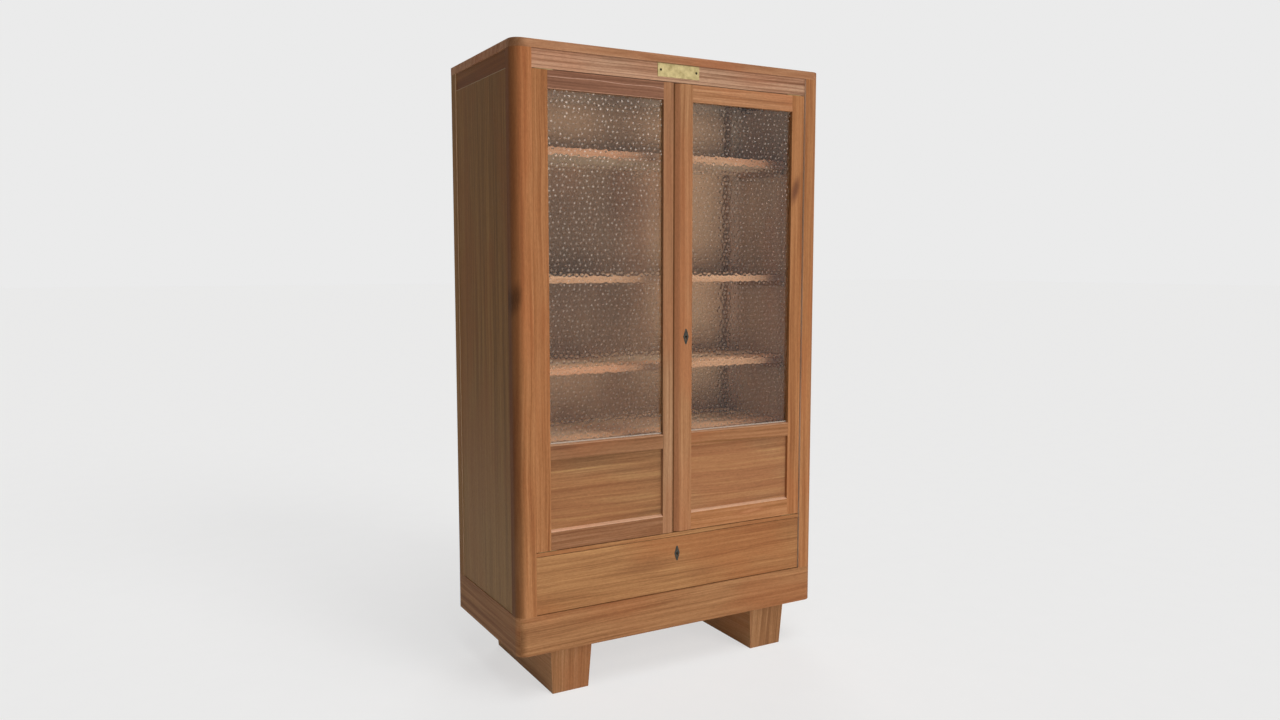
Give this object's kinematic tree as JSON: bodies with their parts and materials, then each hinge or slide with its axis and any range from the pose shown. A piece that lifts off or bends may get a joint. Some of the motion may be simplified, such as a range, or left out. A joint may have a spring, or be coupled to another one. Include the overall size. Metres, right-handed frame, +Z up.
{
  "type": "school cabinet",
  "caption": "Tall wooden school cabinet with a pair of pebbled-glass doors over a drawer, rounded front corners, a brass name plate and tapered runner feet.",
  "frame": {"origin": "on the floor, under the middle of the case's footprint", "axes": "+Z up, -Y out of the front, where the doors and the drawer open, +X to the right as seen from the front"},
  "size_m": [1.018, 0.485, 1.8],
  "materials": {
    "case_wood": "stained and varnished, satin",
    "panel_wood": "stained and varnished, satin",
    "door_wood": "stained and varnished, satin",
    "inside_wood": "stained, matt",
    "pebbled_glass": "pebbled, gloss",
    "brass": "dull, aged",
    "dark_iron": "blackened",
    "steel": "dull"
  },
  "bodies": {
    "cabinet": {"top_board": "case_wood", "front_post_left": "case_wood", "front_post_right": "case_wood", "rear_post_left": "case_wood", "rear_post_right": "case_wood", "frieze_rail": "case_wood", "side_top_rails": "case_wood", "rear_top_rail": "case_wood", "plinth_front": "case_wood", "plinth_sides": "case_wood", "plinth_rear": "case_wood", "divider_rail": "case_wood", "runner_foot_left": "case_wood", "runner_foot_right": "case_wood", "side_panels": "panel_wood", "back_panel": "panel_wood", "door_stop_strip": "inside_wood", "bottom_board": "inside_wood", "cupboard_floor": "inside_wood", "drawer_runners": "inside_wood", "shelf_1": "inside_wood", "shelf_2": "inside_wood", "shelf_3": "inside_wood", "shelf_4": "inside_wood", "shelf_cleats": "inside_wood", "brass_plate": "brass", "plate_screws": "dark_iron", "foot_screws": "steel", "hinge_case_leaves": "steel"},
    "left_door": {"left_door_hinge_stile": "door_wood", "left_door_meeting_stile": "door_wood", "left_door_top_rail": "door_wood", "left_door_middle_rail": "door_wood", "left_door_bottom_rail": "door_wood", "left_door_glass": "pebbled_glass", "left_door_panel": "panel_wood", "left_door_glazing_beads": "door_wood", "left_door_hinge_leaves": "steel", "left_door_bolt_cases": "steel"},
    "right_door": {"right_door_hinge_stile": "door_wood", "right_door_meeting_stile": "door_wood", "right_door_top_rail": "door_wood", "right_door_middle_rail": "door_wood", "right_door_bottom_rail": "door_wood", "right_door_glass": "pebbled_glass", "right_door_panel": "panel_wood", "right_door_glazing_beads": "door_wood", "right_door_hinge_leaves": "steel", "door_lock_case": "steel", "door_escutcheon": "dark_iron"},
    "drawer": {"drawer_front": "door_wood", "drawer_sides": "inside_wood", "drawer_back": "inside_wood", "drawer_bottom": "inside_wood", "drawer_lock_case": "steel", "drawer_escutcheon": "dark_iron"},
    "upper_bolt": {"left_door_upper_bolt": "steel"},
    "lower_bolt": {"left_door_lower_bolt": "steel"},
    "door_lock_bolt": {"door_lock_bolt": "steel"},
    "drawer_lock_bolt": {"drawer_lock_bolt": "steel"}
  },
  "joints": [
    {"name": "left_door_hinge", "type": "hinge", "parent": "cabinet", "child": "left_door", "pos_m": [-0.44, -0.231, 1.0735], "axis": [0, 0, -1], "range_deg": [0, 110]},
    {"name": "right_door_hinge", "type": "hinge", "parent": "cabinet", "child": "right_door", "pos_m": [0.44, -0.231, 1.0735], "axis": [0, 0, 1], "range_deg": [0, 110]},
    {"name": "drawer_slide", "type": "slide", "parent": "cabinet", "child": "drawer", "axis": [0, -1, 0], "range_m": [0, 0.3]},
    {"name": "upper_bolt_slide", "type": "slide", "parent": "left_door", "child": "upper_bolt", "axis": [0, 0, 1], "range_m": [0, 0.012]},
    {"name": "lower_bolt_slide", "type": "slide", "parent": "left_door", "child": "lower_bolt", "axis": [0, 0, -1], "range_m": [0, 0.012]},
    {"name": "door_lock_throw", "type": "slide", "parent": "right_door", "child": "door_lock_bolt", "axis": [-1, 0, 0], "range_m": [0, 0.014]},
    {"name": "drawer_lock_throw", "type": "slide", "parent": "drawer", "child": "drawer_lock_bolt", "axis": [0, 0, 1], "range_m": [0, 0.009]}
  ]
}
